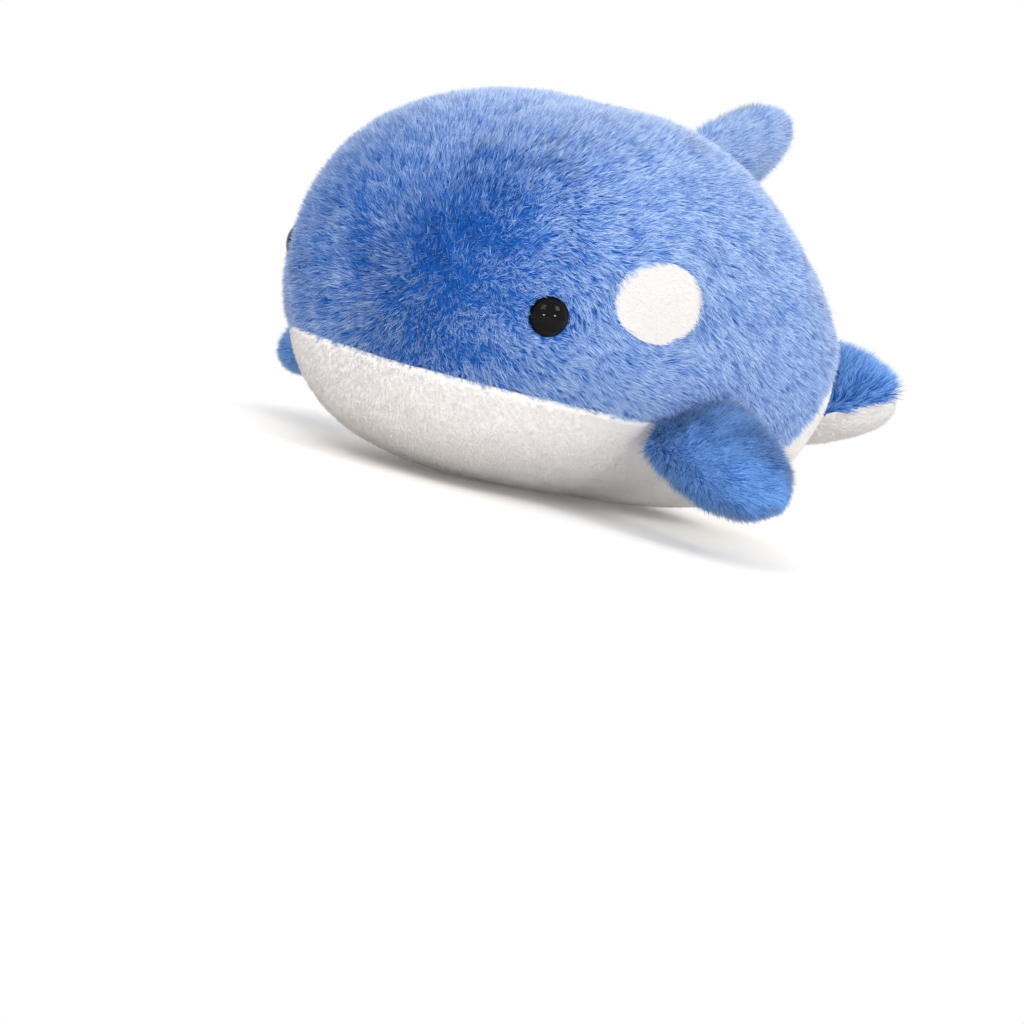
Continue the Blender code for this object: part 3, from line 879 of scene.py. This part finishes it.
def limb_surface(length, widths, thicknesses, root_depth):
    """A form along X from inside the body to its tip.

    Half its width and half its thickness swell along a quarter of a sine wave from their root size to
    their full size, and close in a round tip.
    """
    turn = np.linspace(0, 2 * np.pi, limb_sides, endpoint=False)[None, :]
    x = (1 - np.cos(np.linspace(0, np.pi, limb_rings))) / 2 * (length + root_depth) - root_depth
    x = x[:, None]
    share = np.maximum(0, x / length)
    root_end = outline(np.minimum(0, x) / root_depth, limb_root_roundness)
    closing = np.where(x > 0, outline(share, limb_tip_roundness), root_end)
    swell = np.sin(np.pi / 2 * np.minimum(1, share / limb_swell_share))
    across = (widths[0] + (widths[1] - widths[0]) * swell) * closing
    through = (thicknesses[0] + (thicknesses[1] - thicknesses[0]) * swell) * closing
    return np.stack([x + 0 * turn, across * np.cos(turn), through * np.sin(turn)], axis=-1)


def limb_lie(points, flow):
    """The limb's pile lies from its root to its tip."""
    even = np.ones(len(points))
    return np.tile(flow, (len(points), 1)), limb_pile_lean * even, even, 0 * even, 0 * even


def add_limb(name, surface, place, seam, parts, nodes, aim, seed, count, bare_root=limb_bare_root):
    """Stuffs a limb's form, grows its pile panel by panel and places both at its hinge.

    The surface, the places of the seam and of each part, and aim are in the limb's own frame. Each part is
    its name, its places, its material and its pile's length, mess, clump and tuft size. The pile starts
    bare_root along aim from the hinge.
    """
    form = surface @ np.array(place.to_3x3()).T + np.array(place.translation)
    skin = add_piece(f"{name}_stuffed", grid_mesh(f"{name}_stuffed", form, wrapped=True))
    inverse = np.linalg.inv(np.array(place))

    def local(points):
        return points @ inverse[:3, :3].T + inverse[:3, 3]

    stuff(skin, limb_weave, limb_swell, lambda points: seam(local(points)))
    pieces = [skin]
    flow = np.array(place.to_3x3() @ Vector(aim))
    for part, keep, finish, (length, mess, clump, tuft) in parts:
        grown = pile(
            f"{name}_{part}",
            skin,
            count,
            lambda points: keep(local(points)) & (local(points) @ np.array(aim) > bare_root),
            lambda points: limb_lie(points, flow),
            length,
            limb_pile_width,
            mess,
            clump,
            seed,
            tuft,
        )
        grown.data.materials.append(finish)
        pieces.append(grown)
    for piece in pieces:
        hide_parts(*nodes)
        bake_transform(piece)
    return pieces


def joint_named(name):
    """The joint's entry in the frame."""
    return next(entry for entry in frame["joints"] if entry["name"] == name)


def hinge_place(joint, x_axis, y_axis):
    """A frame at a joint's hinge, from two of its directions."""
    x_axis, y_axis = Vector(x_axis).normalized(), Vector(y_axis).normalized()
    turn = Matrix((x_axis, y_axis, x_axis.cross(y_axis))).transposed()
    return Matrix.Translation(Vector(joint_named(joint)["pos_m"])) @ turn.to_4x4()


# Flippers. Two blue paddles of the shaggy plush, an upper and an under panel each, stuffed and sewn
# into the body low on its flanks. They droop and sweep back a little from their roots.
flipper_length = 0.0412 - limb_inset
flipper_half_widths = (0.0206 - limb_inset, 0.0204 - limb_inset)
flipper_half_thicknesses = (limb_root_half_thickness, 0.0112 - limb_inset)
flipper_root_depth = 0.008
flipper_forward = 0.003
flipper_pile_count = 46000
flipper_pile_seed = 50
flipper_aim = (0.92235, -0.0101, -0.38622)


def flipper_place(joint, side):
    """A frame at the flipper's hinge: X out along the flipper, drooped and swept, and Y along its root."""
    out, back, up = flipper_aim
    return hinge_place(joint, (side * out, back, up), [-part for part in joint_named(joint)["axis"]])


limb_plush = plush("blue_shaggy_plush", limb_root, limb_tip, limb_spread)
for side_name, side in sides:
    form = limb_surface(flipper_length, flipper_half_widths, flipper_half_thicknesses, flipper_root_depth)
    form[..., 1] -= side * flipper_forward
    pieces = add_limb(
        f"flipper_{side_name}",
        form,
        flipper_place(f"flipper_{side_name}_flap", side),
        lambda local: np.abs(local[:, 2]) < limb_seam_hold,
        (
            ("upper_pile", lambda local: local[:, 2] > 0, limb_plush, shaggy_pile),
            ("under_pile", lambda local: local[:, 2] <= 0, limb_plush, shaggy_pile),
        ),
        [f"flipper_{side_name}_{part}" for part in ("upper", "under", "filling")],
        (1, 0, 0),
        flipper_pile_seed + side,
        flipper_pile_count,
    )
    pieces[0].data.materials.append(blue_backing)


# Dorsal fin. Two small panels of the body's blue plush, left and right, stuffed flat and sewn into the
# centre seam behind the crown, where it leans back over the rump.
fin_length = 0.0558 - limb_inset
fin_half_widths = (0.0155 - limb_inset, 0.0168 - limb_inset)
fin_half_thicknesses = (limb_root_half_thickness, 0.0090 - limb_inset)
fin_root_depth = 0.009
fin_pile_length = 0.0049
fin_pile = (fin_pile_length, limb_mess, limb_clump, tuft_size)
fin_pile_count = 30000
fin_pile_seed = 60
fin_aim = (0, 0.86163, 0.50754)
fin_square = (0, 0.50754, -0.86163)

pieces = add_limb(
    "fin",
    limb_surface(fin_length, fin_half_widths, fin_half_thicknesses, fin_root_depth),
    hinge_place("fin_lean", fin_aim, fin_square),
    lambda local: np.abs(local[:, 2]) < limb_seam_hold,
    (
        ("left_pile", lambda local: local[:, 2] < 0, blue_plush, fin_pile),
        ("right_pile", lambda local: local[:, 2] >= 0, blue_plush, fin_pile),
    ),
    ["fin_panel_left", "fin_panel_right", "fin_filling"],
    (1, 0, 0),
    fin_pile_seed,
    fin_pile_count,
    bare_root=-fin_root_depth,
)
pieces[0].data.materials.append(blue_backing)


# Tail fluke. Two lobes on one short root, cut as one blue panel above and one short-piled white panel
# below, stuffed full and sewn in at the rump, turned up.
fluke_half_span = 0.0568 - limb_inset
fluke_half_thicknesses = (0.0085 - limb_inset, 0.0171 - limb_inset)
fluke_root_depth, fluke_root_length, fluke_lobe_length = 0.007, 0.015, 0.049
fluke_lead_sweep, fluke_tip_drop, fluke_rise, fluke_hang = 0.018, 0.005, 0.001, 0.0035
fluke_tip_roundness = 2.8
fluke_seam = 0.003 - fluke_hang
fluke_under_extra = 0.0030
fluke_pitch = math.radians(42)
sheared_pile = (belly_pile_length, belly_mess, belly_clump, belly_tuft)
fluke_pile_count = 46000
fluke_pile_seed = 70


def fluke_surface():
    """A form along X from tip to tip, whose sections run from the leading to the trailing edge.

    The trailing edge bulges along a quarter of a sine wave in each lobe, and both edges sweep back with the
    cube of the share of the half span.
    """
    turn = np.linspace(0, 2 * np.pi, limb_sides, endpoint=False)[None, :]
    share = -np.cos(np.linspace(0, np.pi, 2 * limb_rings))[:, None]
    far = np.abs(share)
    bulge = np.sin(np.pi / 2 * np.minimum(1, far / limb_swell_share))
    lead = fluke_lead_sweep * far**3 - fluke_root_depth * (1 - far) ** 2
    trail = fluke_root_length + (fluke_lobe_length - fluke_root_length) * bulge - fluke_tip_drop * far**3
    closing = outline(share, fluke_tip_roundness)
    root_through, full_through = fluke_half_thicknesses
    through = (root_through + (full_through - root_through) * bulge) * closing
    through = through + fluke_under_extra * closing * (np.sin(turn) < 0)
    chord = ((trail - lead) / 2 - limb_inset) * closing
    x = fluke_half_span * share + 0 * turn
    y = (lead + trail) / 2 + chord * np.cos(turn)
    return np.stack([x, y, fluke_rise * share**2 - fluke_hang + through * np.sin(turn)], axis=-1)


def paint_fluke(mesh, place):
    """Blue backing on the faces above the fluke's seam, and white on those below it."""
    mesh.materials.append(blue_backing)
    mesh.materials.append(white_backing)
    centres = np.empty(len(mesh.polygons) * 3, np.float32)
    mesh.polygons.foreach_get("center", centres)
    inverse = np.array(place.inverted())
    rise = centres.reshape(-1, 3) @ inverse[2, :3] + inverse[2, 3]
    mesh.polygons.foreach_set("material_index", (rise < fluke_seam).astype(np.int32))


fluke_place = hinge_place("tail_flex", (1, 0, 0), (0, math.cos(fluke_pitch), math.sin(fluke_pitch)))
pieces = add_limb(
    "fluke",
    fluke_surface(),
    fluke_place,
    lambda local: np.abs(local[:, 2] - fluke_seam) < limb_seam_hold,
    (
        ("top_pile", lambda local: local[:, 2] > fluke_seam, limb_plush, shaggy_pile),
        ("under_pile", lambda local: local[:, 2] <= fluke_seam, white_plush, sheared_pile),
    ),
    ["fluke_top_panel", "fluke_under_panel", "fluke_filling"],
    (0, 1, 0),
    fluke_pile_seed,
    fluke_pile_count,
)
paint_fluke(pieces[0].data, fluke_place)


# Safety eyes. A glossy black plastic dome with a thin rim, on a ribbed post pushed through the
# plush and held by a milky nylon washer pressed on behind it.
eye_dome, eye_rim, eye_sink = 0.0048, 0.0008, 0.0035
dome_rings, eye_sides = 24, 72
post_radius, post_length = 0.0016, 0.0105
post_teeth, post_tooth = 9, 0.0002
eye_black, eye_grey, eye_cloud_size = "#050506", "#0B0B0D", 0.00385
nylon_dark, nylon_pale, milk_size = "#D9D6CB", "#E9E6DC", 0.0025


def eye_mesh(name, side):
    """A profile turned about the eye's axis: post, flat back, thin rim, and a quarter circle of dome.

    The post carries rings of teeth, as a saw of its radius, for the washer to lock on.
    """
    lift = np.linspace(0, np.pi / 2, dome_rings)
    teeth = np.arange(2 * post_teeth + 1) % 2
    post_radii = post_radius - post_tooth * teeth
    post_heights = np.linspace(-post_length, -post_tooth, len(teeth))
    radii = np.concatenate([[0], post_radii, [post_radius], [eye_radius], eye_radius * np.cos(lift)])
    dome = eye_rim + (eye_dome - eye_rim) * np.sin(lift)
    heights = np.concatenate([[-post_length], post_heights, [0], [0], dome]) - eye_sink
    turn = np.linspace(0, 2 * np.pi, eye_sides, endpoint=False)
    place, normal, along, up = eye_flank
    ring = np.cos(turn)[:, None] * along + np.sin(turn)[:, None] * up
    points = place + radii[:, None, None] * ring + heights[:, None, None] * normal
    points[..., 0] *= side
    return grid_mesh(name, points[:, ::-side], wrapped=True)


# Injection-moulded black plastic, polished: a clear sharp gloss over black.
black_plastic = mottled(
    "black_moulded_plastic",
    colour(eye_black),
    colour(eye_grey),
    eye_cloud_size,
    {"Roughness": 0.05, "IOR": 1.49, "Specular IOR Level": 0.12},
)
# Moulded natural nylon: milky, with a dull gloss.
nylon = mottled(
    "natural_nylon",
    colour(nylon_dark),
    colour(nylon_pale),
    milk_size,
    {"Roughness": 0.45, "IOR": 1.53},
)
for side_name, side in sides:
    eye = add_piece(f"eye_{side_name}_moulding", eye_mesh(f"eye_{side_name}_moulding", side))
    eye.data.materials.append(black_plastic)
    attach(eye, "body")
    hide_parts(f"eye_{side_name}")
    washer = frame["nodes"][f"eye_washer_{side_name}"]
    washer.data.materials.clear()
    washer.data.materials.append(nylon)


# Table and light. A white table under soft, even studio light: a large key light and a fill above the
# camera, two small low ones that put sparks in the eyes, and a broad one behind.
table_reach = 6.0
table_white, backdrop_white = "#F1EFEC", "#FFFFFF"
table_near, table_far = 0.12, 0.42
table_lift = 0.12
lamp_aim_height = 0.06


def table_paint():
    """Matt white laminate that takes the whale's shadow and fades into the white backdrop.

    The fade is for the camera alone, from table_near to table_far away, and so is the table's small lift.
    """
    material, tree, shader = new_material("white_table")
    set_shader(shader, {"Base Color": colour(table_white), "Roughness": 1.0, "Specular IOR Level": 0.0})
    place = add_node(tree, "ShaderNodeTexCoord").outputs["Object"]
    reach = add_node(tree, "ShaderNodeVectorMath", {0: place}, operation="LENGTH").outputs["Value"]
    far = add_node(
        tree,
        "ShaderNodeMapRange",
        {"Value": reach, "From Min": table_near, "From Max": table_far},
        interpolation_type="SMOOTHSTEP",
    )
    rays = add_node(tree, "ShaderNodeLightPath").outputs["Is Camera Ray"]
    seen = add_node(tree, "ShaderNodeMath", {0: rays, 1: far.outputs["Result"]}, operation="MULTIPLY")
    lifted = add_node(tree, "ShaderNodeMath", {0: rays, 1: table_lift}, operation="MULTIPLY")
    white = colour(backdrop_white)
    glow = add_node(tree, "ShaderNodeEmission", {"Color": white, "Strength": lifted.outputs[0]})
    near = add_node(tree, "ShaderNodeAddShader", {0: shader.outputs[0], 1: glow.outputs[0]})
    backdrop = add_node(tree, "ShaderNodeEmission", {"Color": white, "Strength": 1.0})
    shaders = {0: seen.outputs[0], 1: near.outputs[0], 2: backdrop.outputs[0]}
    both = add_node(tree, "ShaderNodeMixShader", shaders)
    tree.links.new(both.outputs[0], tree.nodes["Material Output"].inputs["Surface"])
    return material


corners = [(x * table_reach, y * table_reach, 0) for x, y in ((-1, -1), (1, -1), (1, 1), (-1, 1))]
table_top = bpy.data.meshes.new("table")
table_top.from_pydata(corners, [], [(0, 1, 2, 3)])
table_top.materials.append(table_paint())
table = add_piece("table", table_top)
table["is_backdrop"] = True

world = bpy.data.worlds.new("studio")
bpy.context.scene.world = world
world.use_nodes = True
studio_white = world.node_tree.nodes["Background"]
set_shader(studio_white, {"Color": colour(backdrop_white), "Strength": 1.0})


def add_lamp(name, azimuth, elevation, distance, size, watts):
    """A square area lamp that many degrees round from the nose and up, turned to the whale."""
    turn, lift = math.radians(azimuth), math.radians(elevation)
    back = Vector((math.sin(turn) * math.cos(lift), -math.cos(turn) * math.cos(lift), math.sin(lift)))
    lamp = bpy.data.objects.new(name, bpy.data.lights.new(name, "AREA"))
    lamp.data.size = size
    lamp.data.energy = watts
    lamp.location = Vector((0, 0, lamp_aim_height)) + distance * back
    lamp.rotation_euler = back.to_track_quat("Z", "Y").to_euler()
    bpy.context.collection.objects.link(lamp)


add_lamp("key_light", 20, 33, 1.6, 0.6, 5)
add_lamp("fill_light", 88, 36, 1.4, 0.4, 4)
add_lamp("left_spark", 36, 2, 1.4, 0.12, 3)
add_lamp("right_spark", 77, 8, 1.4, 0.12, 2.7)
add_lamp("back_light", 218, 35, 1.6, 0.9, 8.5)


low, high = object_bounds()
